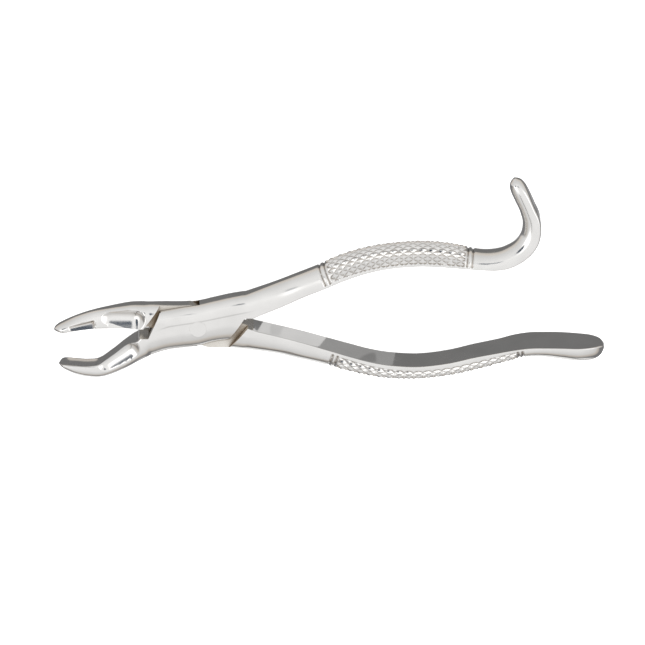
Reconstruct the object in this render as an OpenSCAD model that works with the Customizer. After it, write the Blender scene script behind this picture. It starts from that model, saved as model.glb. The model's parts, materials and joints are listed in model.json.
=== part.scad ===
// Dental extraction forceps with a box joint, lying flat.
// +X runs along the handles, +Y towards the finger hook, +Z is the pin's axis.
// The origin is on the pin's axis, on the flat underside of the joint.

/* [Joint] */
// Thickness of the joint between its two ground flats
joint_t = 9; // [8.7:0.1:9]
// Thickness of the tongue that passes through the joint
tongue_t = 3.6; // [3:0.1:4.2]
// Gap on each side of the tongue
slide_gap = 0.06; // [0.04:0.01:0.1]
// Width of the tongue
tongue_w = 12; // [11:0.5:12]
// Slope of the slot, below +X
slot_slope = 11.5; // [11:0.5:12]
// Angle by which the beaks close from rest before the tongue meets the slot
closing_angle = 9; // [8:0.5:10]
// Angle by which the beaks open from rest
opening_angle = 15; // [10:1:16]

/* [Pin] */
// Diameter of the joint pin
pin_d = 4.5; // [3.5:0.1:4.6]
// Diameter of the peened ends of the pin
pin_head_d = 5.4; // [5.2:0.1:5.8]
// Depth of the countersinks that the peened ends fill
pin_head_h = 1.2; // [0.8:0.1:1.6]
// Radial clearance of the tongue on the pin
pin_clearance = 0.04; // [0.02:0.01:0.08]

/* [Surface] */
// Rings between two neighbouring sections
rings_per_section = 4; // [2:1:4]
// Points round each ring
ring_points = 28; // [16:4:28]

/* [Hidden] */
$fn = 96;
steel = [0.80, 0.79, 0.77];
pin_steel = [0.72, 0.71, 0.69];
half_joint = joint_t / 2;
slot_t = tongue_t + 2 * slide_gap;
slot_w = tongue_w + 0.9;
tongue_slope = slot_slope + closing_angle + 0.5;
open_slope = tongue_slope + opening_angle + 0.5;
box_reach = 17;
far = 16;
flush_cut = 5;

// A section is [x, y, lean, height, half width, widest, upper power, lower power].
// lean is the direction of the bar in degrees, widest is where the section is
// widest, from -0.5 (its lower side) to 0.5 (its upper side), and the powers
// go from 2 (round) to 14 (nearly square).

// Joint, shared by both halves: the full height that the two fill together
box_sections = [
    [-15.5, -1.8, 0, 18.4, 4.7, 0, 2.3, 2.3],
    [-10.3, -0.9, 0, 16.6, 4.8, 0, 2.3, 2.3],
    [-5.2, -0.5, 0, 15.8, 4.8, 0, 2.3, 2.3],
    [0, 0, 0, 15.5, 4.8, 0, 2.3, 2.3],
    [5.2, 0.4, 0, 16.9, 4.8, 0, 2.3, 2.3],
    [10.3, 1.0, 0, 18.2, 4.8, 0, 2.3, 2.3],
    [14.6, 1.15, 0, 19.6, 4.7, 0, 2.3, 2.3]
];

// Lower, pointed beak and its shank, from the point to the joint
pointed_beak = [
    [-45.1, -14.0, -8, 0.4, 0.3, 0, 2, 2],
    [-44.1, -14.1, -8, 1.4, 2.8, 0.2, 5, 2],
    [-42.6, -14.6, -6, 2.6, 3.4, 0.2, 6, 2],
    [-39.4, -15.6, -4, 4.1, 3.5, 0.2, 6, 2],
    [-35.5, -16.2, 0, 4.9, 3.4, 0.2, 6, 2],
    [-31.0, -15.7, 18, 5.5, 3.3, 0.1, 7, 2.2],
    [-25.6, -12.7, 37, 6.7, 3.7, 0.1, 8, 2.4],
    [-21.0, -9.5, 33, 7.7, 4.2, 0.25, 8, 2.3],
    [-17.3, -7.5, 22, 7.8, 4.6, 0.35, 8, 2.2]
];

// Handle that ends in the finger hook, from the joint to the hook's end
hook_handle = [
    [16.4, 7.3, 18, 7.6, 4.65, -0.4, 2.1, 12],
    [26, 11.4, 22, 7.2, 4.75, -0.35, 2.2, 14],
    [33, 14.5, 23, 6.8, 4.95, -0.3, 2.2, 14],
    [39.4, 17.35, 23, 6.6, 5.15, -0.3, 2.2, 14],
    [45.9, 20.4, 22, 6.6, 5.3, -0.3, 2.2, 14],
    [52.4, 22.8, 17, 6.5, 5.35, -0.3, 2.2, 14],
    [58.8, 24.4, 10, 6.3, 5.35, -0.3, 2.2, 14],
    [65.3, 25.3, 5, 6.2, 5.35, -0.3, 2.2, 14],
    [71.8, 25.7, 0, 6.2, 5.35, -0.3, 2.2, 14],
    [78.2, 25.4, -5, 6.1, 5.35, -0.3, 2.2, 14],
    [84.7, 24.55, -7, 5.5, 5.3, -0.3, 2.2, 14],
    [91.1, 23.6, -5, 4.8, 5.2, -0.3, 2.2, 9],
    [96, 23.5, 5, 5.2, 5.1, -0.25, 2.2, 12],
    [100.2, 24.5, 26, 5.8, 4.9, -0.2, 2.2, 10],
    [104.4, 27.2, 47, 6.1, 4.6, -0.2, 2.2, 8],
    [107.1, 31.3, 66, 6.3, 4.3, -0.2, 2.2, 8],
    [107.6, 36.5, 92, 5.9, 4.1, -0.2, 2.2, 8],
    [106.1, 41.3, 111, 5.2, 4.0, -0.2, 2.2, 6],
    [104.5, 45.1, 117, 5.3, 3.8, -0.2, 2.2, 5],
    [103.1, 48.3, 114, 5.2, 3.3, -0.1, 2, 3],
    [102.3, 50.4, 112, 3.9, 2.5, 0, 2, 2],
    [101.9, 51.6, 112, 0.9, 0.7, 0, 2, 2]
];

// Upper, rounded beak and its shank, from the end to the joint
rounded_beak = [
    [-46.4, -2.1, 35, 0.6, 0.5, 0, 2, 2],
    [-45.9, -1.7, 32, 1.5, 1.6, 0, 2, 3],
    [-44.6, -1.2, 26, 2.6, 2.7, -0.2, 2, 5],
    [-42.7, -0.5, 20, 3.3, 3.1, -0.2, 2, 6],
    [-38.8, 0.8, 15, 4.4, 3.2, -0.2, 2, 6],
    [-33.6, 2.0, 11, 5.6, 3.1, -0.2, 2, 6],
    [-28.4, 2.8, 8, 6.7, 3.2, -0.15, 2.2, 8],
    [-23.3, 3.5, 4, 7.7, 3.8, -0.2, 2.3, 8],
    [-20.7, 3.5, 1, 7.7, 4.15, -0.3, 2.3, 8],
    [-17.0, 3.5, 0, 7.7, 4.6, -0.4, 2.2, 8]
];

// Straight handle that widens into a paddle, from the joint to its end
paddle_handle = [
    [16.4, -4.5, -8, 8.6, 4.65, 0.4, 12, 2.1],
    [26, -6.4, -13, 7.5, 4.75, 0.35, 14, 2.2],
    [33, -8.2, -16, 7.3, 4.95, 0.3, 14, 2.2],
    [40.4, -10.3, -17, 6.8, 5.1, 0.3, 14, 2.2],
    [47.8, -12.5, -16, 6.6, 5.3, 0.3, 14, 2.2],
    [55.3, -14.55, -12, 6.4, 5.35, 0.3, 14, 2.2],
    [62.7, -15.7, -5, 6.2, 5.4, 0.3, 14, 2.2],
    [71.8, -15.9, 4, 5.9, 5.4, 0.3, 14, 2.2],
    [81.4, -14.65, 11, 5.9, 5.5, 0.3, 14, 2.2],
    [90, -12.5, 14, 5.9, 5.6, 0.3, 14, 2.2],
    [97.6, -10.5, 14, 5.2, 5.8, 0.3, 14, 2.2],
    [102.5, -9.1, 11, 4.8, 6.3, 0.3, 14, 2.2],
    [107.3, -8.3, 4, 4.7, 6.5, 0.3, 14, 2.2],
    [112, -8.4, -2, 5.1, 6.5, 0.3, 14, 2.2],
    [117, -8.8, -5, 5.8, 6.5, 0.3, 14, 2.2],
    [123, -9.4, -5, 6.4, 6.2, 0.3, 14, 2.2],
    [127.5, -9.3, -4, 6.1, 5.1, 0.3, 7, 2.2],
    [130.1, -8.6, 0, 4.2, 3.5, 0.3, 5, 2.2],
    [131.3, -7.8, 6, 1.3, 1.3, 0.2, 3, 2]
];

// Corners of the cheeks' two sloping ends, seen along the pin
cheek_left_low = [-16.05, -3.45];
cheek_left_high = [-9.3, 12];
cheek_right_low = [5.2, -12];
cheek_right_high = [15.15, 3.9];

// Corners of the two shoulders that the tongue runs between
shoulder_left_low = [-26.4, -12];
shoulder_left_high = [-8.9, 12];
shoulder_right_low = [6.5, -12];
shoulder_right_high = [25.4, 12];

// Level of the beak's underside beside the joint, and of the handle's flat
beak_floor = -0.3;
handle_ceiling = -0.3;

// Smooth curve through four sections a, b, c, d, at t from b to c
function curve(a, b, c, d, t) =
    0.5 * (2 * b + (c - a) * t + (2 * a - 5 * b + 4 * c - d) * t * t
    + (3 * b - a - 3 * c + d) * t * t * t);

// All rings of one list of sections
function fill_in(s) = [
    for (i = [0:len(s) - 2], k = [0:rings_per_section - 1])
        curve(s[max(i - 1, 0)], s[i], s[i + 1], s[min(i + 2, len(s) - 1)], k / rings_per_section),
    s[len(s) - 1]
];

function sgn_pow(v, p) = sign(v) * pow(abs(v), 2 / p);

// Point number k of ring s
function ring_point(s, k) =
    let (
        a = 360 * k / ring_points,
        up = sin(a) >= 0,
        power = up ? s[6] : s[7],
        reach = s[3] * (up ? 0.5 - s[5] : 0.5 + s[5]),
        n = s[3] * s[5] + reach * sgn_pow(sin(a), power),
        z = s[4] * sgn_pow(cos(a), power)
    )
    [s[0] - n * sin(s[2]), s[1] + n * cos(s[2]), z];

// One closed bar through rings
module bar(rings) {
    count = len(rings);
    points = [for (s = rings, k = [0:ring_points - 1]) ring_point(s, k)];
    sides = [
        for (r = [0:count - 2], k = [0:ring_points - 1])
            let (
                here = r * ring_points,
                next = here + ring_points,
                after = (k + 1) % ring_points
            )
            each [
                [here + k, here + after, next + after],
                [here + k, next + after, next + k]
            ]
    ];
    first_end = [for (k = [ring_points - 1:-1:0]) k];
    last_end = [for (k = [0:ring_points - 1]) (count - 1) * ring_points + k];
    polyhedron(points = points, faces = concat([first_end], sides, [last_end]), convexity = 10);
}

// Slab seen along the pin as the polygon corners, between two heights
module plate(corners, low, high) {
    translate([0, 0, low])
        linear_extrude(height = high - low)
            polygon(corners);
}

// Metal ground away above and below the joint's flats
module ground_flats() {
    for (side = [-1, 1])
        translate([-box_reach, -far, side > 0 ? half_joint : -half_joint - flush_cut])
            cube([2 * box_reach, 2 * far, flush_cut]);
}

// The pin's shaft and its two peened ends
module pin_shape(r) {
    cylinder(h = joint_t, r = r, center = true);
    for (side = [0, 180])
        rotate([side, 0, 0])
            translate([0, 0, half_joint - pin_head_h])
                cylinder(h = pin_head_h, r1 = pin_d / 2, r2 = pin_head_d / 2);
}

// Far corner of the slot, at its left (-1) or right (1) end, on its upper (1)
// or lower (-1) side, when the tongue has this slope
function slot_end(end, side, slope) = [
    2 * end * far * cos(slope) + side * slot_w / 2 * sin(slope),
    side * slot_w / 2 * cos(slope) - 2 * end * far * sin(slope)
];

// Narrowest place of the slot, where its sides for the two slopes cross
function slot_waist(side) =
    let (middle = (slot_slope + open_slope) / 2, turn = (open_slope - slot_slope) / 2)
    [side * slot_w / 2 * sin(middle) / cos(turn), side * slot_w / 2 * cos(middle) / cos(turn)];

// Half with the finger hook, the two cheeks and the pointed beak
module female_half() {
    color(steel)
        translate([0, 0, half_joint])
            difference() {
                bar(concat(fill_in(pointed_beak), fill_in(box_sections), fill_in(hook_handle)));
                ground_flats();
                plate([
                    slot_end(-1, 1, open_slope),
                    slot_waist(1),
                    slot_end(1, 1, slot_slope),
                    slot_end(1, -1, open_slope),
                    slot_waist(-1),
                    slot_end(-1, -1, slot_slope)
                ], -slot_t / 2, slot_t / 2);
                plate([
                    cheek_left_low,
                    cheek_left_high,
                    [-2 * far, cheek_left_high[1]],
                    [-2 * far, cheek_left_low[1]]
                ], -2 * half_joint, 2 * half_joint);
                plate([
                    cheek_right_high,
                    cheek_right_low,
                    [2 * far, cheek_right_low[1]],
                    [2 * far, cheek_right_high[1]]
                ], -2 * half_joint, 2 * half_joint);
                pin_shape(pin_d / 2);
            }
}

// Height of the tongue's edge at x, on its upper (1) or lower (-1) side
function tongue_edge(x, side) =
    (side * tongue_w / 2 - x * sin(tongue_slope)) / cos(tongue_slope);

// Half with the paddle, the tongue and the rounded beak
module male_half() {
    near = 5;
    left_stop = (-tongue_w / 2 - beak_floor * cos(tongue_slope)) / sin(tongue_slope);
    right_stop = (tongue_w / 2 - handle_ceiling * cos(tongue_slope)) / sin(tongue_slope);
    color(steel)
        translate([0, 0, half_joint])
            difference() {
                bar(concat(fill_in(rounded_beak), fill_in(box_sections), fill_in(paddle_handle)));
                ground_flats();
                for (side = [-1, 1])
                    plate([
                        shoulder_left_low,
                        shoulder_right_low,
                        shoulder_right_high,
                        shoulder_left_high
                    ], side > 0 ? tongue_t / 2 : -2 * half_joint, side > 0 ? 2 * half_joint : -tongue_t / 2);
                plate([
                    [left_stop, beak_floor],
                    [-box_reach - near, beak_floor],
                    [-box_reach - near, -far],
                    [near, -far],
                    [near, tongue_edge(near, -1)]
                ], -2 * half_joint, 2 * half_joint);
                plate([
                    [right_stop, handle_ceiling],
                    [box_reach + near, handle_ceiling],
                    [box_reach + near, far],
                    [-near, far],
                    [-near, tongue_edge(-near, 1)]
                ], -2 * half_joint, 2 * half_joint);
                cylinder(h = 2 * joint_t, r = pin_d / 2 + pin_clearance, center = true);
            }
}

// Pin pressed into both cheeks and ground flush with them
module joint_pin() {
    color(pin_steel)
        translate([0, 0, half_joint])
            pin_shape(pin_d / 2);
}

female_half();
male_half();
joint_pin();
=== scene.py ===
"""Looks of a pair of dental extraction forceps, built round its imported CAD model.

+X runs along the handles, +Y towards the finger hook, +Z is the pin's axis.
Shapes are worked out in millimetres from the pin's axis and the joint's
mid-plane, and placed in metres in the CAD frame.
"""

import json
import math

import bpy
import numpy as np
from mathutils import Matrix, Vector


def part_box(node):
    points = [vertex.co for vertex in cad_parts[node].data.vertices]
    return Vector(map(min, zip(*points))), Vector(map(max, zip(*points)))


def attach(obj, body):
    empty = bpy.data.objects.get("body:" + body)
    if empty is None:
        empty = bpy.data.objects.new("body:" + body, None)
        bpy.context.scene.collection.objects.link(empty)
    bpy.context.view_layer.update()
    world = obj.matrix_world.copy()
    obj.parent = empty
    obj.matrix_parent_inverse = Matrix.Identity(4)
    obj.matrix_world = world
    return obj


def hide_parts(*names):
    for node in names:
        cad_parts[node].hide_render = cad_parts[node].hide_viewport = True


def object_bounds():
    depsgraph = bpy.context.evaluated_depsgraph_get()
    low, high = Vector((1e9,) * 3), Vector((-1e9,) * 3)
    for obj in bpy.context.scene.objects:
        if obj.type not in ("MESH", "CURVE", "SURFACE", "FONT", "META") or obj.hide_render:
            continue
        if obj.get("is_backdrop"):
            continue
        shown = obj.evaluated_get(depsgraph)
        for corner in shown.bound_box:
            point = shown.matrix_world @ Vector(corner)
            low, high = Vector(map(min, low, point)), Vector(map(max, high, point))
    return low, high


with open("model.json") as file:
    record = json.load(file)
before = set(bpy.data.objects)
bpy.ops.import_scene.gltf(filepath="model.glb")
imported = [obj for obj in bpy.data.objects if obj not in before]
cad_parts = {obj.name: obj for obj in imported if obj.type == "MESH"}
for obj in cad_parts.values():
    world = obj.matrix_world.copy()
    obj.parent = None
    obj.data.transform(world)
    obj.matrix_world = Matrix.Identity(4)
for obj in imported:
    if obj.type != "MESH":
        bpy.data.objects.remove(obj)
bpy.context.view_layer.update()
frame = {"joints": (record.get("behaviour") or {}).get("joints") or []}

# ---------------------------------------------------------------- dimensions

MM = 0.001
PIN = np.array(frame["joints"][0]["pos_m"])
pin_low, pin_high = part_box("joint_pin")
FLAT = (pin_high.z - pin_low.z) / 2 / MM  # half thickness at the ground flats
PIN_HEAD_R = (pin_high.x - pin_low.x) / 2 / MM
PIN_R = 2.25
PIN_HEAD_DEPTH = 1.2

# A section is x, y, lean, height, half width, widest, upper power, lower power.
# lean is the bar's direction in degrees, widest is where the section is widest,
# from -0.5 (its lower side) to 0.5 (its upper side), and the powers go from 2
# (round) to 14 (nearly square).
X, Y, LEAN, HEIGHT, HALF_W, WIDEST, UPPER, LOWER = range(8)

PADDLE_BOX = [
    (-15.5, -1.8, 0, 18.4, 4.7, 0, 2.8, 2.4),
    (-10.3, -0.9, 0, 16.6, 4.8, 0, 3, 2.4),
    (-5.2, -0.5, 0, 15.8, 4.8, 0, 3, 2.4),
    (0, 0, 0, 15.5, 4.8, 0, 3, 2.4),
    (5.2, 0.4, 0, 16.9, 4.8, 0, 3, 2.3),
    (10.3, 1.0, 0, 18.2, 4.8, 0, 3, 2.3),
    (14.6, 1.15, 0, 19.6, 4.7, 0, 3, 2.3),
]
# The cheeks stand back from the tongue at their upper left and lower right
HOOK_BOX = [
    (-15.5, -3.0, 0, 16.0, 4.7, 0.1, 3, 2),
    (-10.3, -1.65, 0, 15.1, 4.7, 0.1, 3, 2),
    (-5.2, -0.8, 0, 15.2, 4.68, 0.1, 3, 2),
    (0, -0.1, 0, 15.3, 4.68, 0.1, 3, 2),
    (5.2, 1.25, 0, 15.2, 4.68, 0.1, 3, 2),
    (10.3, 2.2, 0, 15.8, 4.7, 0.1, 3, 2),
    (14.6, 2.7, 0, 16.5, 4.7, 0.05, 3, 2.2),
]
POINTED_BEAK = [
    (-45.1, -14.0, -8, 0.4, 0.3, 0, 2, 2),
    (-44.1, -14.1, -8, 1.4, 2.8, 0.2, 5, 2),
    (-42.6, -14.6, -6, 2.6, 3.4, 0.2, 6, 2),
    (-39.4, -15.6, -4, 4.1, 3.5, 0.2, 6, 2),
    (-35.5, -16.2, 0, 4.9, 3.4, 0.2, 6, 2),
    (-31.0, -15.7, 18, 5.5, 3.3, 0.1, 7, 2.2),
    (-25.6, -12.7, 37, 6.7, 3.7, 0.1, 8, 2.4),
    (-21.0, -9.5, 33, 7.7, 4.2, 0.25, 8, 2.3),
    (-17.3, -7.5, 22, 7.8, 4.6, 0.35, 8, 2.2),
]
HOOK_HANDLE = [
    (16.4, 7.3, 18, 7.6, 4.65, -0.4, 3, 9),
    (26, 11.3, 22, 7.3, 4.75, -0.35, 2.3, 9),
    (33, 14.5, 23, 6.8, 4.95, -0.3, 2.2, 9),
    (39.4, 17.35, 23, 6.6, 5.15, -0.42, 2.2, 14),
    (45.9, 20.4, 22, 6.6, 5.3, -0.42, 2.2, 14),
    (52.4, 22.8, 17, 6.5, 5.35, -0.42, 2.2, 14),
    (58.8, 24.4, 10, 6.3, 5.35, -0.42, 2.2, 14),
    (65.3, 25.3, 5, 6.2, 5.35, -0.42, 2.2, 14),
    (71.8, 25.7, 0, 6.2, 5.35, -0.42, 2.2, 14),
    (78.2, 25.4, -5, 6.1, 5.35, -0.42, 2.2, 14),
    (84.7, 24.55, -7, 5.5, 5.3, -0.42, 2.2, 14),
    (91.1, 23.6, -5, 4.8, 5.2, -0.42, 2.2, 9),
    (96, 23.5, 5, 5.2, 5.1, -0.25, 2.2, 12),
    (100.2, 24.5, 26, 5.8, 4.9, -0.2, 2.2, 10),
    (104.4, 27.2, 47, 6.1, 4.6, -0.2, 2.2, 8),
    (107.1, 31.3, 66, 6.3, 4.3, -0.2, 2.2, 8),
    (107.6, 36.5, 92, 5.9, 4.1, -0.2, 2.2, 8),
    (106.1, 41.3, 111, 5.2, 4.0, -0.2, 2.2, 6),
    (104.5, 45.1, 117, 5.3, 3.8, -0.2, 2.2, 5),
    (103.1, 48.3, 114, 5.2, 3.3, -0.1, 2, 3),
    (102.3, 50.4, 112, 3.9, 2.5, 0, 2, 2),
    (101.9, 51.6, 112, 0.9, 0.7, 0, 2, 2),
]
ROUNDED_BEAK = [
    (-46.4, -2.1, 35, 0.6, 0.5, 0, 2, 2),
    (-45.9, -1.7, 32, 1.5, 1.6, 0, 2, 3),
    (-44.6, -1.2, 26, 2.6, 2.7, -0.2, 2, 5),
    (-42.7, -0.5, 20, 3.3, 3.1, -0.2, 2, 6),
    (-38.8, 0.8, 15, 4.4, 3.2, -0.2, 2, 6),
    (-33.6, 2.0, 11, 5.6, 3.1, -0.2, 2.3, 6),
    (-28.4, 2.7, 8, 6.6, 3.2, -0.15, 2.8, 8),
    (-23.3, 3.35, 4, 7.3, 3.8, -0.2, 3, 8),
    (-20.7, 3.5, 1, 7.7, 4.15, -0.3, 3, 8),
    (-17.0, 3.5, 0, 7.7, 4.6, -0.4, 3, 8),
]
PADDLE_HANDLE = [
    (16.4, -4.5, -8, 8.6, 4.65, 0.4, 12, 2.1),
    (26, -6.4, -13, 7.5, 4.75, 0.35, 14, 2.2),
    (33, -8.2, -16, 7.3, 4.95, 0.3, 14, 2.2),
    (40.4, -10.3, -17, 6.8, 5.1, 0.4, 14, 2.2),
    (47.8, -12.5, -16, 6.6, 5.3, 0.4, 14, 2.2),
    (55.3, -14.55, -12, 6.4, 5.35, 0.4, 14, 2.2),
    (62.7, -15.7, -5, 6.2, 5.4, 0.4, 14, 2.2),
    (71.8, -15.9, 4, 5.9, 5.4, 0.4, 14, 2.2),
    (81.4, -14.65, 11, 5.9, 5.5, 0.4, 14, 2.2),
    (90, -12.5, 14, 5.9, 5.6, 0.4, 14, 2.2),
    (97.6, -10.5, 14, 5.2, 5.8, 0.4, 14, 2.2),
    (102.5, -9.1, 11, 4.8, 6.3, 0.4, 14, 2.2),
    (107.3, -8.3, 4, 4.7, 6.5, 0.38, 14, 2.1),
    (112, -8.4, -2, 5.1, 6.5, 0.42, 14, 2),
    (117, -8.8, -5, 5.8, 6.5, 0.42, 14, 2),
    (123, -9.4, -5, 6.4, 6.2, 0.42, 14, 2),
    (127.5, -9.3, -4, 6.1, 5.1, 0.4, 7, 2),
    (130.1, -8.6, 0, 4.2, 3.5, 0.3, 5, 2.2),
    (131.3, -7.8, 6, 1.3, 1.3, 0.2, 3, 2),
]

# Joint: the tongue, the slot it turns in, and the straight ends of the cheeks
# and shoulders, as in the CAD model
TONGUE_HALF = 1.8  # half thickness of the tongue, and of the slot round it
SLOT_HALF = 1.86
TONGUE_W = 12  # width of the tongue, and of the slot in any one direction
SLOT_W = 12.9
SLOT_SLOPE = math.radians(11.5)  # direction of the slot's side that closing reaches
TONGUE_SLOPE = math.radians(21)
OPEN_SLOPE = math.radians(36.5)  # and of the side that opening reaches
CHEEK_LEFT = ((-16.05, -3.45), (-9.3, 12))
CHEEK_RIGHT = ((5.2, -12), (15.15, 3.9))
SHOULDER_LEFT = ((-26.4, -12), (-8.9, 12))
SHOULDER_RIGHT = ((6.5, -12), (25.4, 12))
FLOOR_LINE = -0.3  # underside of the beak and of the handle beside the joint
BORE_R = 2.29
FAR = 32
NEAR_PIN, PAST_TONGUE, PAST_EDGE = 5, 22, 16  # reach of the cuts beside the tongue
PIN_GAP = 0.006  # room round the pin's heads, so that no two faces coincide
SHAFT_GAP = 0.02

# Grips: where the knurling and the ring grooves lie along X
HOOK_GRIP = dict(start=42.6, end=86.2, rings=(40.3, 41.8, 87.0, 88.6))
PADDLE_GRIP = dict(start=45.4, end=103.0, rings=(42.9, 44.5, 103.6, 105.0))
KNURL_PITCH = 3.1
KNURL_ACROSS = 8
KNURL_STEPS = 12  # rings to a diamond, and points to a diamond
KNURL_DEPTH = 0.66
KNURL_PROUD = 0.2
RING_DEPTH = 0.5
RING_HALF = 0.55

# The edge of the flat ground across the cheeks, as x and y
CREASE = ((-14.4, -0.8), (-9.4, 1.0), (0.7, 2.7), (17.1, 6.4), (22, 9.2))
CREASE_DEPTH = 0.16
CREASE_FADE = 15  # the x from which the crease fades out towards its right end

# The ground flats rise gently past the joint, then steeply, so they run out
# before the handles begin
FLAT_END, FLAT_STOP = 15.5, 19
FLAT_RISE, STOP_RISE = 0.04, 1.5

# Hollows ground into the shanks, front and back. A trough is x, y of its middle,
# its direction in degrees, its lowest height, its fall along it, its slopes below
# and above, how round its bottom is, its half length and how fast it ends.
LOWER_TROUGHS = [
    (-26.3, -10.4, 36, 2.5, 0, 0.5, 0.5, 0.6, 3.2, 0.014),
]
UPPER_TROUGHS = [
    (-24.9, 4.1, 0, 2.0, 0, 0.57, 0.9, 1.1, 2.6, 0.016),
    (-24.9, 6.1, 9, 2.88, -0.1, 0.1, 0.65, 0.05, 3.4, 0.05),
    (-37.8, 0.8, 11.5, 2.25, 0.11, 0.46, 1.4, 0.16, 3.6, 1.2),
]
TROUGH_LIP = 0.04  # rounding of a trough's rim
TROUGH_FLOOR = 0.2  # height that no trough cuts below
TROUGH_EDGE = 0.3  # height under which the surface is left alone

# Hollows along the inner faces of the beaks, and the share of a beak's width
# that they take
CUP_WIDTH = 0.86
LOWER_CUP = dict(on_upper=True, start=-44.5, end=-29, depth=0.55)
UPPER_CUP = dict(on_upper=False, start=-46, end=-30, depth=0.55)

# ------------------------------------------------------------------- sweeping


def rows_at(table, u):
    """Sections at positions u of a table, on a smooth curve through its rows."""
    rows = np.array(table, float)
    last = len(rows) - 1
    i = np.clip(np.floor(u).astype(int), 0, last - 1)
    t = (u - i)[:, None]
    a, b, c, d = (rows[np.clip(i + k, 0, last)] for k in (-1, 0, 1, 2))
    return 0.5 * (
        2 * b
        + (c - a) * t
        + (2 * a - 5 * b + 4 * c - d) * t**2
        + (3 * b - a - 3 * c + d) * t**3
    )


def spaced_rows(table, spacing):
    """Sections about spacing(rows) apart, and how far along the bar each is."""
    u = np.linspace(0, len(table) - 1, 60 * (len(table) - 1) + 1)
    rows = rows_at(table, u)
    gaps = np.hypot(np.diff(rows[:, X]), np.diff(rows[:, Y]))
    along = np.concatenate([[0], np.cumsum(gaps)])
    count = np.concatenate([[0], np.cumsum(gaps / spacing(rows[1:]))])
    at = np.linspace(0, count[-1], int(round(count[-1])) + 1)
    return rows_at(table, np.interp(at, count, u)), np.interp(at, count, along)


def half_outline(rows, upper, steps):
    """One side of each section as points (n, z) from its front to its back.

    The points are even along the outline, and closer together at corners."""
    dense = 721
    a = np.linspace(0, math.pi, dense)[None, :]
    power = rows[:, [UPPER if upper else LOWER]]
    height, half, widest = (rows[:, [c]] for c in (HEIGHT, HALF_W, WIDEST))
    reach = height * (0.5 - widest) if upper else -height * (0.5 + widest)
    z = half * np.sign(np.cos(a)) * np.abs(np.cos(a)) ** (2 / power)
    n = height * widest + reach * np.abs(np.sin(a)) ** (2 / power)
    dz, dn = np.diff(z), np.diff(n)
    heading = np.unwrap(np.arctan2(dn, dz))
    turn = np.abs(np.diff(heading, prepend=heading[:, :1]))
    corner = np.clip((power - 3) / 4, 0, 1) * np.clip(half, 0.3, 4) * 0.6
    weight = np.hypot(dz, dn) + corner * turn + 1e-9
    total = np.concatenate([np.zeros((len(rows), 1)), np.cumsum(weight, 1)], 1)
    share = np.linspace(0, 1, steps + 1)
    even_n = [np.interp(share * t[-1], t, v) for t, v in zip(total, n)]
    even_z = [np.interp(share * t[-1], t, v) for t, v in zip(total, z)]
    return np.array(even_n), np.array(even_z)


def soft_min(a, b, blend):
    """The smaller of two heights, rounded where they cross."""
    return 0.5 * (a + b - np.sqrt((a - b) ** 2 + blend**2))


def step_up(v, low, high):
    """0 below low, 1 above high, and smooth between."""
    t = np.clip((v - low) / (high - low), 0, 1)
    return t * t * (3 - 2 * t)


def outlines(rows, up_steps, low_steps):
    """Whole outlines (n, z), going over the upper side and back under the lower."""
    up_n, up_z = half_outline(rows, True, up_steps)
    low_n, low_z = half_outline(rows, False, low_steps)
    n = np.concatenate([up_n[:, :-1], low_n[:, :0:-1]], 1)
    z = np.concatenate([up_z[:, :-1], low_z[:, :0:-1]], 1)
    return n, z


def push_out(n, z, amount):
    """Moves outline points outwards by amount."""
    dn = np.roll(n, -1, 1) - np.roll(n, 1, 1)
    dz = np.roll(z, -1, 1) - np.roll(z, 1, 1)
    size = np.hypot(dn, dz) + 1e-9
    return n - amount * dz / size, z + amount * dn / size


def place(rows, n, z):
    """Outline points in space, as an array of rings."""
    lean = np.radians(rows[:, [LEAN]])
    x = rows[:, [X]] - n * np.sin(lean)
    y = rows[:, [Y]] + n * np.cos(lean)
    return np.stack([x, y, z], 2)


# --------------------------------------------------------------- surface work


def knurl(along, across):
    """Height of pyramids cut by two families of grooves: 0 in a groove, 1 on top."""
    a = along / KNURL_PITCH + across
    b = along / KNURL_PITCH - across
    d1 = 1 - np.abs(2 * (a % 1) - 1)
    d2 = 1 - np.abs(2 * (b % 1) - 1)
    return np.clip(soft_min(d1, d2, 0.05) + 0.02, 0, 0.94)


def grip_relief(rows, along, steps, round_up, grip, margin):
    """Knurling and ring grooves on the round side of a handle."""
    up_steps, low_steps = steps
    count = up_steps + low_steps
    first, last = (0, up_steps) if round_up else (up_steps, count)
    share = (np.arange(count) - first) / (last - first)
    on_round = (share > 0) & (share < 1)
    half_arc = 0.5 * math.pi * rows[:, [HALF_W]]
    edge = np.minimum(share, 1 - share)[None, :] * 2 * half_arc
    across = (share - 0.5)[None, :] * KNURL_ACROSS
    at = np.interp(
        [grip["start"], grip["end"], *grip["rings"]], rows[:, X], along
    )
    s = along[:, None]
    zone = step_up(s, at[0] - 0.3, at[0] + 0.3) * step_up(-s, -at[1] - 0.3, 0.3 - at[1])
    edge_gap = np.interp(rows[:, [X]], margin["x"], margin["gap"])
    zone = zone * step_up(edge, edge_gap, edge_gap + 0.5)
    relief = zone * (KNURL_PROUD - KNURL_DEPTH * (1 - knurl(s - at[0], across)))
    for ring in at[2:]:
        groove = np.clip(1 - np.abs(s - ring) / RING_HALF, 0, 1)
        relief = relief - RING_DEPTH * groove * step_up(edge, 0.1, 0.5)
    return np.where(on_round[None, :], relief, 0)


def cup_relief(rows, z, steps, on_upper, start, end, depth):
    """Lengthwise hollow ground into the inner face of a beak."""
    up_steps, low_steps = steps
    index = np.arange(up_steps + low_steps)
    inner = (index < up_steps) if on_upper else (index >= up_steps)
    x = rows[:, [X]]
    window = step_up(x, start, start + 3) * step_up(-x, -end, 4 - end)
    half = rows[:, [HALF_W]] * CUP_WIDTH
    hollow = np.clip(1 - (z / half) ** 2, 0, 1)
    return np.where(inner[None, :], -depth * window * hollow, 0)


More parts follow.
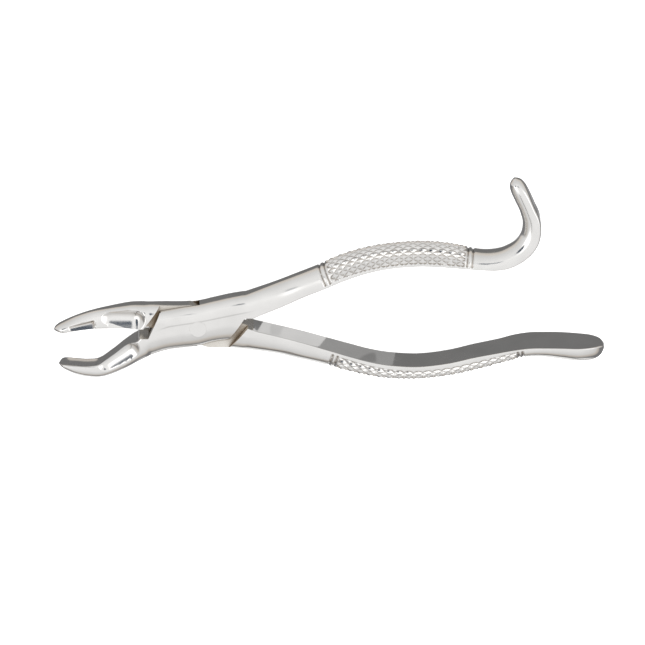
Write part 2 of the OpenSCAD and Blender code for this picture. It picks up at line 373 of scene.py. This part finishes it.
def bend(v, slope, radius):
    """Height of a trough's side, straight at slope beyond a rounded bottom."""
    return np.sqrt((slope * v) ** 2 + radius**2) - radius


def grind(points, hollows):
    """Cuts troughs into the front, and the same ones into the back."""
    x, y, z = points[..., 0], points[..., 1], points[..., 2]
    top = np.abs(z)
    for x0, y0, direction, low, fall, below, above, soft, half, end in hollows:
        turn = math.radians(direction)
        t = (x - x0) * math.cos(turn) + (y - y0) * math.sin(turn)
        v = (y - y0) * math.cos(turn) - (x - x0) * math.sin(turn)
        side = bend(v, np.where(v < 0, below, above), soft)
        past = np.clip(np.abs(t) - half, 0, None)
        trough = low - fall * t + side + end * past**3
        ground = np.maximum(soft_min(top, trough, TROUGH_LIP), TROUGH_FLOOR)
        top = np.where(top > TROUGH_EDGE, ground, top)
    points[..., 2] = np.sign(z) * top


def grind_flats(points, crease):
    """Grinds the joint flat, front and back, up to a crease if there is one."""
    x, y, z = points[..., 0], points[..., 1], points[..., 2]
    away = np.abs(x)
    level = FLAT + FLAT_RISE * np.clip(away - FLAT_END, 0, None)
    level = level + STOP_RISE * np.clip(away - FLAT_STOP, 0, None)
    if crease:
        line = np.interp(x, *zip(*crease))
        first, second, last = crease[0][0], crease[1][0], crease[-1][0]
        ends = step_up(x, first, second) * step_up(-x, -last, -CREASE_FADE)
        level = level + CREASE_DEPTH * step_up(y - line, -0.2, 0.25) * ends
    points[..., 2] = np.sign(z) * soft_min(np.abs(z), level, 0.02)


def ease(points, seams):
    """Smooths the rings near each seam between two tables along the bar."""
    for seam in seams:
        rings = np.arange(max(seam - EASE_REACH, 1), seam + EASE_REACH)
        pull = (1 - np.abs(rings - seam) / EASE_REACH)[:, None, None] * 0.5
        for _ in range(EASE_PASSES):
            middle = 0.5 * (points[rings - 1] + points[rings + 1])
            points[rings] += pull * (middle - points[rings])


def tube(name, points, relief=None):
    """Closed mesh through an array of rings, with its edges along the relief's."""
    rings, count = points.shape[:2]
    ends = [points[0].mean(0), points[-1].mean(0)]
    corners = np.concatenate([points.reshape(-1, 3), ends]) * MM + PIN
    r, k = np.meshgrid(np.arange(rings - 1), np.arange(count), indexing="ij")
    after = (k + 1) % count
    a, b = (r * count + k).ravel(), (r * count + after).ravel()
    d, c = a + count, b + count
    bumps = np.zeros(rings * count) if relief is None else relief.ravel()
    even = np.abs(bumps[a] - bumps[c]) <= np.abs(bumps[b] - bumps[d])
    first = np.where(even, [a, b, c], [a, b, d]).T
    second = np.where(even, [a, c, d], [b, c, d]).T
    triangles = np.concatenate([first, second])
    k = np.arange(count)
    last = (rings - 1) * count
    fan = [(rings * count, (j + 1) % count, j) for j in k]
    fan += [(rings * count + 1, last + j, last + (j + 1) % count) for j in k]
    mesh = bpy.data.meshes.new(name)
    mesh.from_pydata(corners.tolist(), [], triangles.tolist() + fan)
    mesh.update()
    if signed_volume(mesh) < 0:
        mesh.flip_normals()
    obj = bpy.data.objects.new(name, mesh)
    bpy.context.scene.collection.objects.link(obj)
    return obj


def signed_volume(mesh):
    """Volume inside a closed mesh, negative if its faces look inwards."""
    mesh.calc_loop_triangles()
    at = np.zeros(len(mesh.vertices) * 3)
    mesh.vertices.foreach_get("co", at)
    corners = np.zeros(len(mesh.loop_triangles) * 3, int)
    mesh.loop_triangles.foreach_get("vertices", corners)
    a, b, c = at.reshape(-1, 3)[corners].reshape(-1, 3, 3).transpose(1, 0, 2)
    return float((a * np.cross(b, c)).sum() / 6)


# -------------------------------------------------------------------- cutting


def prism(name, corners, low, high):
    """Slab seen along the pin as corners, between two heights."""
    n = len(corners)
    at = [(x, y, low) for x, y in corners] + [(x, y, high) for x, y in corners]
    faces = [tuple(range(n)), tuple(range(2 * n - 1, n - 1, -1))]
    faces += [(i, n + i, n + (i + 1) % n, (i + 1) % n) for i in range(n)]
    mesh = bpy.data.meshes.new(name)
    mesh.from_pydata((np.array(at) * MM + PIN).tolist(), [], faces)
    if signed_volume(mesh) < 0:
        mesh.flip_normals()
    obj = bpy.data.objects.new(name, mesh)
    bpy.context.scene.collection.objects.link(obj)
    return obj


def lathe(name, profile, steps=96):
    """Closed body turned about the pin's axis from (radius, height) points."""
    turn = np.linspace(0, 2 * math.pi, steps, endpoint=False)
    rings = [
        np.stack([r * np.cos(turn), r * np.sin(turn), np.full(steps, h)], 1)
        for r, h in profile
    ]
    return tube(name, np.array(rings))


def cut(obj, cutters, finish):
    """Takes the cutters away from obj, leaving the new faces in this material."""
    for cutter in cutters:
        cutter.data.materials.append(finish)
        step = obj.modifiers.new("cut", "BOOLEAN")
        step.operation = "DIFFERENCE"
        step.solver = "MANIFOLD"
        step.object = cutter
        step.material_mode = "TRANSFER"
        graph = bpy.context.evaluated_depsgraph_get()
        mesh = bpy.data.meshes.new_from_object(obj.evaluated_get(graph))
        obj.modifiers.clear()
        obj.data = mesh
        bpy.data.objects.remove(cutter)


def smooth_with_edges(obj, angle):
    """Smooth shading, with edges sharper than angle left crisp."""
    mesh = obj.data
    mesh.polygons.foreach_set("use_smooth", [True] * len(mesh.polygons))
    mesh.set_sharp_from_angle(angle=math.radians(angle))
    mesh.update()


# ------------------------------------------------------------------ materials


# Colour of the painted shade in the bottoms of grooves
GROOVE_SHADE = (0.5, 0.46, 0.42)
# Colour of the painted shade in corners and recesses, darker and browner where little
# light reaches
RECESS_SHADE = (0.22, 0.17, 0.12)
SOFT_EDGE = 0.07
POLISHED_LIGHT, POLISHED_DARK = (0.84, 0.83, 0.815), (0.79, 0.78, 0.765)
MACHINED_LIGHT, MACHINED_DARK = (0.8, 0.77, 0.72), (0.72, 0.68, 0.62)


def new_material(name):
    """Empty material, with its nodes, its links and its shader."""
    material = bpy.data.materials.new(name)
    material.use_nodes = True
    nodes = material.node_tree.nodes
    return material, nodes, material.node_tree.links, nodes["Principled BSDF"]


def noise(nodes, links, coords, scale, size, detail=3.0, rough=0.5):
    """Noise stretched by scale, with features about size metres across."""
    mapping = nodes.new("ShaderNodeMapping")
    mapping.inputs["Scale"].default_value = scale
    texture = nodes.new("ShaderNodeTexNoise")
    texture.inputs["Scale"].default_value = 1 / size
    texture.inputs["Detail"].default_value = detail
    texture.inputs["Roughness"].default_value = rough
    links.new(coords, mapping.inputs["Vector"])
    links.new(mapping.outputs["Vector"], texture.inputs["Vector"])
    return texture.outputs["Fac"]


def ramp(nodes, links, value, stops):
    """Colour ramp through (position, colour) stops."""
    node = nodes.new("ShaderNodeValToRGB")
    elements = node.color_ramp.elements
    while len(elements) < len(stops):
        elements.new(0.5)
    for element, (position, colour) in zip(elements, stops):
        element.position = position
        element.color = (*colour, 1) if len(colour) == 3 else colour
    links.new(value, node.inputs["Fac"])
    return node.outputs["Color"]


def math_node(nodes, links, operation, a, b):
    """Result of an operation on a and b, each a socket or a number."""
    node = nodes.new("ShaderNodeMath")
    node.operation = operation
    for socket, value in zip(node.inputs, (a, b)):
        if isinstance(value, (int, float)):
            socket.default_value = value
        else:
            links.new(value, socket)
    return node.outputs["Value"]


def mixed(nodes, links, mode, factor, a, b):
    """Colours a and b, each a socket or a colour, blended by factor."""
    node = nodes.new("ShaderNodeMix")
    node.data_type = "RGBA"
    node.blend_type = mode
    for name, value in (("Factor", factor), ("A", a), ("B", b)):
        if isinstance(value, (int, float, tuple)):
            node.inputs[name].default_value = value
        else:
            links.new(value, node.inputs[name])
    return node.outputs["Result"]


def between(nodes, links, value, low, high):
    """0 below low, 1 above high, and smooth between."""
    node = nodes.new("ShaderNodeMapRange")
    node.interpolation_type = "SMOOTHSTEP"
    node.inputs["From Min"].default_value = low
    node.inputs["From Max"].default_value = high
    links.new(value, node.inputs["Value"])
    return node.outputs["Result"]


def tinted(nodes, links, tone, tint):
    """Tone darkened by a tint."""
    return mixed(nodes, links, "MULTIPLY", 1.0, tone, tint)


def painted_groove_shade(nodes, links):
    """Painted shade that darkens the bottoms of grooves, where the surface is hollow."""
    shape = nodes.new("ShaderNodeNewGeometry").outputs["Pointiness"]
    return ramp(nodes, links, shape, [(0.455, GROOVE_SHADE), (0.492, (1, 1, 1))])


def painted_corner_shade(nodes, links, reach):
    """Painted shade that darkens and browns corners and recesses, out to reach
    millimetres.
    """
    corner = nodes.new("ShaderNodeAmbientOcclusion")
    corner.samples = 8
    corner.inputs["Distance"].default_value = reach * MM
    return ramp(nodes, links, corner.outputs["AO"], [(0.5, RECESS_SHADE), (0.93, (1, 1, 1))])


def uneven_gloss(nodes, links, blotch, roughness, spread):
    """Roughness that varies with blotch."""
    gloss = nodes.new("ShaderNodeMapRange")
    gloss.inputs["From Min"].default_value = 0.12
    gloss.inputs["From Max"].default_value = 0.45
    gloss.inputs["To Min"].default_value = roughness
    gloss.inputs["To Max"].default_value = roughness + spread
    links.new(blotch, gloss.inputs["Value"])
    return gloss.outputs["Result"]


def bump(nodes, links, height, depth, strength, normal):
    """Normal with marks of this depth in millimetres."""
    marks = nodes.new("ShaderNodeBump")
    marks.inputs["Distance"].default_value = depth * MM
    marks.inputs["Strength"].default_value = strength
    links.new(height, marks.inputs["Height"])
    links.new(normal, marks.inputs["Normal"])
    return marks.outputs["Normal"]


def soft_edges(nodes):
    """Normal that rounds off sharp edges."""
    bevel = nodes.new("ShaderNodeBevel")
    bevel.samples = 6
    bevel.inputs["Radius"].default_value = SOFT_EDGE * MM
    return bevel.outputs["Normal"]


def cutting_lines(nodes, links, coords):
    """Parallel lines left by a cutter."""
    wave = nodes.new("ShaderNodeTexWave")
    wave.bands_direction = "DIAGONAL"
    wave.inputs["Scale"].default_value = 900
    wave.inputs["Distortion"].default_value = 0.6
    links.new(coords, wave.inputs["Vector"])
    return wave.outputs["Fac"]


def steel(name, light, dark, roughness, spread, grain, lines=0.0, shade_reach=0.0, shaded_grooves=False):
    """Polished or ground stainless steel.

    light and dark are the two tones it varies between, roughness and spread its
    gloss, grain the depth of its fine marks, lines that of its cutting lines, and the
    last two how far painted shade reaches out of its corners and whether painted
    shade darkens the bottoms of its grooves."""
    material, nodes, links, shader = new_material(name)
    coords = nodes.new("ShaderNodeTexCoord").outputs["Object"]
    shader.inputs["Metallic"].default_value = 1.0
    cloud = noise(nodes, links, coords, (1, 1, 1), 0.009, 4)
    smear = noise(nodes, links, coords, (0.25, 1, 1), 0.0022, 5, 0.65)
    brush = noise(nodes, links, coords, (0.06, 1, 1), 0.00022, 3, 0.6)
    tone = ramp(nodes, links, cloud, [(0.3, dark), (0.62, light)])
    # Painted shade darkens the bottoms of grooves
    if shaded_grooves:
        tone = tinted(nodes, links, tone, painted_groove_shade(nodes, links))
    # Painted shade darkens and browns corners and recesses
    if shade_reach:
        tone = tinted(nodes, links, tone, painted_corner_shade(nodes, links, shade_reach))
    links.new(tone, shader.inputs["Base Color"])
    blotch = math_node(nodes, links, "MULTIPLY", smear, cloud)
    gloss = uneven_gloss(nodes, links, blotch, roughness, spread)
    links.new(gloss, shader.inputs["Roughness"])
    normal = bump(nodes, links, brush, grain, 0.6, soft_edges(nodes))
    if lines:
        cuts = cutting_lines(nodes, links, coords)
        normal = bump(nodes, links, cuts, lines, 0.7, normal)
    links.new(normal, shader.inputs["Normal"])
    return material


# -------------------------------------------------------------------- bodies

UP_ROUND, UP_FLAT = (96, 34), (34, 96)  # points over the upper and the lower side
BRIDGE = 5  # rings between two tables
EASE_REACH, EASE_PASSES = 9, 12
BOX_SPACING = 0.36
EDGE_ANGLE, PIN_EDGE_ANGLE = 38, 30  # edges sharper than this stay crisp
HOOK_MARGIN = dict(x=(42, 60, 86), gap=(0.5, 0.15, 0.15))
PADDLE_MARGIN = dict(x=(45, 55, 70, 90, 103), gap=(0.3, 0.5, 0.8, 1.0, 0.3))


def beak_spacing(rows):
    """Rings closer together where the beak is thin."""
    return np.clip(rows[:, HEIGHT] / 16, 0.05, 0.33)


def box_spacing(rows):
    """Even rings through the joint."""
    return np.full(len(rows), BOX_SPACING)


def handle_spacing(grip):
    """Close rings over the grip, wider ones elsewhere."""
    step = KNURL_PITCH / KNURL_STEPS

    def spacing(rows):
        x = rows[:, X]
        near_ring = np.min([np.abs(x - ring) for ring in grip["rings"]], 0) < 0.9
        knurled = (x > grip["start"]) & (x < grip["end"])
        wide = np.clip(rows[:, HEIGHT] / 12, 0.06, 0.45)
        return np.where(near_ring, step / 2, np.where(knurled, step, wide))

    return spacing


def bridge(start, end):
    """Rings between the last ring of one table and the first of the next."""
    return np.linspace(start, end, BRIDGE + 2)[1:-1]


def sweep_half(name, tables, steps, grip, margin, cup, hollows, crease=None):
    """One half of the forceps before its joint is cut."""
    beak, box, handle = tables
    beak_rows, _ = spaced_rows(beak, beak_spacing)
    n, z = outlines(beak_rows, *steps)
    n, z = push_out(n, z, cup_relief(beak_rows, z, steps, **cup))
    beak_rings = place(beak_rows, n, z)
    box_rows, _ = spaced_rows(box, box_spacing)
    box_rings = place(box_rows, *outlines(box_rows, *steps))
    handle_rows, along = spaced_rows(handle, handle_spacing(grip))
    relief = grip_relief(handle_rows, along, steps, steps == UP_ROUND, grip, margin)
    n, z = push_out(*outlines(handle_rows, *steps), relief)
    handle_rings = place(handle_rows, n, z)
    left = bridge(beak_rings[-1], box_rings[0])
    right = bridge(box_rings[-1], handle_rings[0])
    points = np.concatenate([beak_rings, left, box_rings, right, handle_rings])
    half = BRIDGE // 2
    ease(points, (len(beak_rings) + half, len(points) - len(handle_rings) - half - 1))
    grind(points, hollows)
    grind_flats(points, crease)
    bumps = np.zeros(points.shape[:2])
    bumps[-len(handle_rings):] = relief
    return tube(name, points, bumps)


def slope_point(along, side, width, slope):
    """Point of a band through the pin: along it, on one side of it."""
    return (
        along * math.cos(slope) + side * width / 2 * math.sin(slope),
        side * width / 2 * math.cos(slope) - along * math.sin(slope),
    )


def slot_corners():
    """The slot that the tongue turns in, narrowest beside the pin."""
    middle = (SLOT_SLOPE + OPEN_SLOPE) / 2
    waist = SLOT_W / math.cos((OPEN_SLOPE - SLOT_SLOPE) / 2)
    return [
        slope_point(-FAR, 1, SLOT_W, OPEN_SLOPE),
        slope_point(0, 1, waist, middle),
        slope_point(FAR, 1, SLOT_W, SLOT_SLOPE),
        slope_point(FAR, -1, SLOT_W, OPEN_SLOPE),
        slope_point(0, -1, waist, middle),
        slope_point(-FAR, -1, SLOT_W, SLOT_SLOPE),
    ]


def tongue_edge(x, side):
    """Height of the tongue's edge at x, on its upper (1) or lower (-1) side."""
    return (side * TONGUE_W / 2 - x * math.sin(TONGUE_SLOPE)) / math.cos(TONGUE_SLOPE)


def tongue_stop(side):
    """Where the tongue's edge meets the level of the beak and handle."""
    level = FLOOR_LINE * math.cos(TONGUE_SLOPE)
    return (side * TONGUE_W / 2 - level) / math.sin(TONGUE_SLOPE)


def hook_half(polished, machined):
    """Half with the pointed beak, the two cheeks and the finger hook."""
    obj = sweep_half(
        "forceps_hook_half",
        (POINTED_BEAK, HOOK_BOX, HOOK_HANDLE),
        UP_ROUND,
        HOOK_GRIP,
        HOOK_MARGIN,
        LOWER_CUP,
        LOWER_TROUGHS,
        CREASE,
    )
    obj.data.materials.append(polished)
    (left_low, left_high), (right_low, right_high) = CHEEK_LEFT, CHEEK_RIGHT
    deep, past = 2 * FLAT, 2 * FAR
    left = [left_low, left_high, (-past, left_high[1]), (-past, left_low[1])]
    right = [right_high, right_low, (past, right_low[1]), (past, right_high[1])]
    bore = [
        (PIN_HEAD_R, -deep), (PIN_HEAD_R, -FLAT), (PIN_R, -FLAT + PIN_HEAD_DEPTH),
        (PIN_R, FLAT - PIN_HEAD_DEPTH), (PIN_HEAD_R, FLAT), (PIN_HEAD_R, deep),
    ]
    cutters = [
        prism("slot", slot_corners(), -SLOT_HALF, SLOT_HALF),
        prism("left", left, -deep, deep),
        prism("right", right, -deep, deep),
        lathe("bore", bore),
    ]
    cut(obj, cutters, machined)
    smooth_with_edges(obj, EDGE_ANGLE)
    return obj


def paddle_half(polished, machined):
    """Half with the rounded beak, the tongue and the paddle."""
    obj = sweep_half(
        "forceps_paddle_half",
        (ROUNDED_BEAK, PADDLE_BOX, PADDLE_HANDLE),
        UP_FLAT,
        PADDLE_GRIP,
        PADDLE_MARGIN,
        UPPER_CUP,
        UPPER_TROUGHS,
    )
    obj.data.materials.append(polished)
    (left_low, left_high), (right_low, right_high) = SHOULDER_LEFT, SHOULDER_RIGHT
    between_shoulders = [left_low, right_low, right_high, left_high]
    deep = 2 * FLAT
    under = [
        (tongue_stop(-1), FLOOR_LINE), (-PAST_TONGUE, FLOOR_LINE),
        (-PAST_TONGUE, -PAST_EDGE), (NEAR_PIN, -PAST_EDGE),
        (NEAR_PIN, tongue_edge(NEAR_PIN, -1)),
    ]
    over = [
        (tongue_stop(1), FLOOR_LINE), (PAST_TONGUE, FLOOR_LINE),
        (PAST_TONGUE, PAST_EDGE), (-NEAR_PIN, PAST_EDGE),
        (-NEAR_PIN, tongue_edge(-NEAR_PIN, 1)),
    ]
    cutters = [
        prism("front", between_shoulders, TONGUE_HALF, deep),
        prism("back", between_shoulders, -deep, -TONGUE_HALF),
        prism("under", under, -deep, deep),
        prism("over", over, -deep, deep),
        lathe("bore", [(BORE_R, -deep), (BORE_R, deep)]),
    ]
    cut(obj, cutters, machined)
    smooth_with_edges(obj, EDGE_ANGLE)
    return obj


def joint_pin(material):
    """Pin whose peened ends are ground flush with the cheeks."""
    side = [
        (PIN_HEAD_R - PIN_GAP, -FLAT + PIN_GAP),
        (PIN_R - SHAFT_GAP, -FLAT + PIN_HEAD_DEPTH),
    ]
    profile = side + [(r, -h) for r, h in reversed(side)]
    obj = lathe("forceps_joint_pin", profile)
    obj.data.materials.append(material)
    smooth_with_edges(obj, PIN_EDGE_ANGLE)
    return obj


# --------------------------------------------------------------------- studio

VIEW_TILT = math.radians(25)
FRAME_WIDTH = 0.2085
CAMERA_DISTANCE = 4.0
SENSOR_WIDTH = 36
FRAME_CENTRE_X, FRAME_CENTRE_Y = 0.04024, 0.0004


def camera():
    """Long lens, tilted from the pin's axis towards the finger hook."""
    back = Vector((0, math.sin(VIEW_TILT), math.cos(VIEW_TILT)))
    up = Vector((0, math.cos(VIEW_TILT), -math.sin(VIEW_TILT)))
    side = up.cross(back)
    data = bpy.data.cameras.new("camera")
    data.sensor_width = SENSOR_WIDTH
    data.lens = SENSOR_WIDTH * CAMERA_DISTANCE / FRAME_WIDTH
    data.clip_start, data.clip_end = 0.1, 60
    obj = bpy.data.objects.new("camera", data)
    target = Vector((FRAME_CENTRE_X, FRAME_CENTRE_Y, PIN[2]))
    axes = Matrix((side, up, back)).transposed().to_4x4()
    obj.matrix_world = Matrix.Translation(target + back * CAMERA_DISTANCE) @ axes
    bpy.context.scene.collection.objects.link(obj)
    bpy.context.scene.camera = obj


def grey(value, tint=(1, 1, 1)):
    """Grey of this brightness, tinted."""
    return tuple(value * part for part in tint)


WARM = (1.07, 1.0, 0.92)
# Brightness by height, from straight down (0) to straight up (1), on the far
# side of the tent and on the near side, where a dark gap runs along the horizon
FAR_SIDE = [
    (0.0, grey(0.19)), (0.14, grey(0.19)), (0.165, grey(0.56, WARM)),
    (0.26, grey(0.69, WARM)), (0.42, grey(0.75)), (0.56, grey(0.8)),
    (0.695, grey(0.86)), (0.808, grey(0.91)), (0.9, grey(0.96)),
    (0.972, grey(1.04)), (1.0, grey(0.99)),
]
NEAR_SIDE = [
    (0.0, grey(0.95)), (0.42, grey(1.0)), (0.455, grey(0.3)), (0.51, grey(0.26)),
    (0.585, grey(0.47, WARM)), (0.655, grey(0.6, WARM)), (0.72, grey(0.72)),
    (0.81, grey(0.79)), (0.93, grey(0.92)), (1.0, grey(0.99)),
]
INK = (0.05, 0.07, 0.1)
GLOW = (1.6, 1.6, 1.6)
NEAR_FROM = (0.0, 0.16)  # how far towards -Y the far side turns into the near side
CORNER = (0.22, 0.22, 0.225, 1)
CORNER_DOWN, CORNER_ASIDE = (-0.15, 0.02), (0.14, 0.32)  # how low and how far aside
SEAM = (0.16, 0.15, 0.14, 1)
SEAM_SQUARE = (0.9, -0.077, 0.429)  # square to the plane that the tent's seam lies in
SEAM_EDGE = (0.02, 0.05)
# Patches the steel mirrors: direction, the cosines of the edge, and colour
PATCHES = [
    ((-0.6, 0.0, 0.8), (0.9, 0.985), GLOW),
    ((0.6, 0.05, 0.8), (0.9, 0.985), GLOW),
    ((0, 0.4226, 0.9063), (0.9915, 0.9955), INK),
    ((-0.56, 0.27, 0.785), (0.983, 0.991), INK),
]


def dot_with(nodes, links, direction, other):
    """Cosine of the angle between a direction and a fixed one."""
    node = nodes.new("ShaderNodeVectorMath")
    node.operation = "DOT_PRODUCT"
    node.inputs[1].default_value = other
    links.new(direction, node.inputs[0])
    return node.outputs["Value"]


def low_corners(nodes, links, x, z, nearness):
    """Where the tent's near side is darker: low down and away from its middle."""
    down = math_node(nodes, links, "MULTIPLY", z, -1)
    low_down = between(nodes, links, down, *CORNER_DOWN)
    side = math_node(nodes, links, "ABSOLUTE", x, 0)
    aside = between(nodes, links, side, *CORNER_ASIDE)
    corner = math_node(nodes, links, "MULTIPLY", low_down, aside)
    return math_node(nodes, links, "MULTIPLY", corner, nearness)


def tent_seam(nodes, links, direction, nearness):
    """Where the tent's near side has a dark seam."""
    across = dot_with(nodes, links, direction, SEAM_SQUARE)
    away = math_node(nodes, links, "ABSOLUTE", across, 0)
    off = between(nodes, links, away, *SEAM_EDGE)
    on = math_node(nodes, links, "SUBTRACT", 1, off)
    return math_node(nodes, links, "MULTIPLY", on, nearness)


def world_light():
    """Light tent: bright above, dimmer at its sides and dark underneath."""
    world = bpy.data.worlds.new("tent")
    bpy.context.scene.world = world
    world.use_nodes = True
    nodes, links = world.node_tree.nodes, world.node_tree.links
    direction = nodes.new("ShaderNodeTexCoord").outputs["Generated"]
    split = nodes.new("ShaderNodeSeparateXYZ")
    links.new(direction, split.inputs["Vector"])
    x, y, z = (split.outputs[axis] for axis in "XYZ")
    raised = math_node(nodes, links, "ADD", z, 1)
    height = math_node(nodes, links, "MULTIPLY", raised, 0.5)
    far = ramp(nodes, links, height, FAR_SIDE)
    near = ramp(nodes, links, height, NEAR_SIDE)
    towards = math_node(nodes, links, "MULTIPLY", y, -1)
    nearness = between(nodes, links, towards, *NEAR_FROM)
    tent = mixed(nodes, links, "MIX", nearness, far, near)
    corner = low_corners(nodes, links, x, z, nearness)
    tent = mixed(nodes, links, "MIX", corner, tent, CORNER)
    on_seam = tent_seam(nodes, links, direction, nearness)
    tent = mixed(nodes, links, "MIX", on_seam, tent, SEAM)
    for centre, (low, high), colour in PATCHES:
        cosine = dot_with(nodes, links, direction, centre)
        inside = between(nodes, links, cosine, low, high)
        tent = mixed(nodes, links, "MIX", inside, tent, (*colour, 1))
    links.new(tent, nodes["Background"].inputs["Color"])


# Floor and backdrop, in metres: the flat's radius, the wall's radius and height
FLAT_R, WALL_R, WALL_H = 6.0, 8.8, 6.4
FLAT_RINGS = (0.02, 0.2, 0.6, 2.0)
FLOOR_STEPS = 128
FLOOR_GAP, CARD_GAP = 0.00005, 0.00002  # how far they lie under the forceps

# Cards on the floor, as low x, high x, low y, high y in millimetres
BRIGHT_CARD = (21.5, 42, -16, 14)
DIM_CARD = (42, 64, -24, 12)


def floor_light():
    """Wide soft lamp that lights the pale floor and isn't seen in the steel."""
    data = bpy.data.lights.new("overhead", "SUN")
    data.energy = 1.0
    data.angle = math.radians(100)
    obj = bpy.data.objects.new("overhead", data)
    obj.visible_glossy = False
    bpy.context.scene.collection.objects.link(obj)


def floor_profile():
    """Floor from near its middle to the top of the backdrop, as (radius, height)."""
    rise = WALL_R - FLAT_R
    profile = [(r, 0.0) for r in (*FLAT_RINGS, FLAT_R)]
    profile += [
        (FLAT_R + rise * math.sin(a), rise * (1 - math.cos(a)))
        for a in np.linspace(0, math.pi / 2, 12)[1:]
    ]
    return profile + [(WALL_R, WALL_H)]


def floor_material():
    """Matt white that glows a little, so that it stays pale and even."""
    material, nodes, links, shader = new_material("pale_floor")
    coords = nodes.new("ShaderNodeTexCoord").outputs["Object"]
    speckle = noise(nodes, links, coords, (1, 1, 1), 0.02)
    tone = ramp(nodes, links, speckle, [(0.3, grey(0.86)), (0.7, grey(0.88))])
    links.new(tone, shader.inputs["Base Color"])
    shader.inputs["Roughness"].default_value = 0.9
    shader.inputs["Specular IOR Level"].default_value = 0.0
    shader.inputs["Emission Color"].default_value = (1, 1, 1, 1)
    shader.inputs["Emission Strength"].default_value = 0.75
    return material


def floor(level):
    """Round pale floor that sweeps up into a backdrop."""
    profile = floor_profile()
    turn = np.linspace(0, 2 * math.pi, FLOOR_STEPS, endpoint=False)
    corners = [(0, 0, level)]
    corners += [
        (r * math.cos(t), r * math.sin(t), level + h) for r, h in profile for t in turn
    ]
    around = [(k, (k + 1) % FLOOR_STEPS) for k in range(FLOOR_STEPS)]
    faces = [(0, 1 + k, 1 + after) for k, after in around]
    for ring in range(len(profile) - 1):
        low = 1 + ring * FLOOR_STEPS
        high = low + FLOOR_STEPS
        faces += [(low + k, high + k, high + after, low + after) for k, after in around]
    mesh = bpy.data.meshes.new("floor")
    mesh.from_pydata(corners, [], faces)
    mesh.polygons.foreach_set("use_smooth", [True] * len(mesh.polygons))
    mesh.materials.append(floor_material())
    obj = bpy.data.objects.new("floor", mesh)
    bpy.context.scene.collection.objects.link(obj)
    obj.visible_glossy = False
    obj.visible_diffuse = False
    obj.visible_shadow = False
    obj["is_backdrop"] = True


def card(name, corners, level, bright, dim):
    """Patchy sheet on the floor that only the steel mirrors."""
    low_x, high_x, low_y, high_y = (v * MM for v in corners)
    at = [(low_x, low_y), (high_x, low_y), (high_x, high_y), (low_x, high_y)]
    mesh = bpy.data.meshes.new(name)
    mesh.from_pydata([(x, y, level) for x, y in at], [], [(0, 1, 2, 3)])
    obj = bpy.data.objects.new(name, mesh)
    bpy.context.scene.collection.objects.link(obj)
    material, nodes, links, shader = new_material(name)
    coords = nodes.new("ShaderNodeTexCoord").outputs["Object"]
    cloud = noise(nodes, links, coords, (1, 1, 1), 0.012, 2)
    tone = ramp(nodes, links, cloud, [(0.4, grey(dim)), (0.44, grey(bright))])
    shader.inputs["Base Color"].default_value = (0, 0, 0, 1)
    shader.inputs["Roughness"].default_value = 1
    shader.inputs["Specular IOR Level"].default_value = 0
    shader.inputs["Emission Strength"].default_value = 1
    links.new(tone, shader.inputs["Emission Color"])
    mesh.materials.append(material)
    obj.visible_camera = False
    obj.visible_diffuse = False
    obj.visible_shadow = False
    obj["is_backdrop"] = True


# ---------------------------------------------------------------------- build

# The polished steel gets painted shade in the bottoms of its grooves
polished = steel(
    "polished_steel",
    POLISHED_LIGHT,
    POLISHED_DARK,
    roughness=0.1,
    spread=0.1,
    grain=0.0012,
    shaded_grooves=True,
)
# The machined steel gets painted shade in its corners and recesses
machined = steel(
    "machined_steel",
    MACHINED_LIGHT,
    MACHINED_DARK,
    roughness=0.2,
    spread=0.12,
    grain=0.002,
    lines=0.003,
    shade_reach=2.5,
)
pin_metal = steel(
    "pin_steel", POLISHED_LIGHT, POLISHED_DARK, roughness=0.11, spread=0.1, grain=0.0012
)

hook = hook_half(polished, machined)
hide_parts("female_half")
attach(hook, "female_body")

paddle = paddle_half(polished, machined)
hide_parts("male_half")
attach(paddle, "male_body")

pin = joint_pin(pin_metal)
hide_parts("joint_pin")
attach(pin, "female_body")

camera()
world_light()
floor_light()
low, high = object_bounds()
floor(low.z - FLOOR_GAP)
card("bright_card", BRIGHT_CARD, low.z - CARD_GAP, bright=0.7, dim=0.6)
card("dim_card", DIM_CARD, low.z - CARD_GAP, bright=0.34, dim=0.24)
bpy.context.scene.view_settings.view_transform = "Standard"
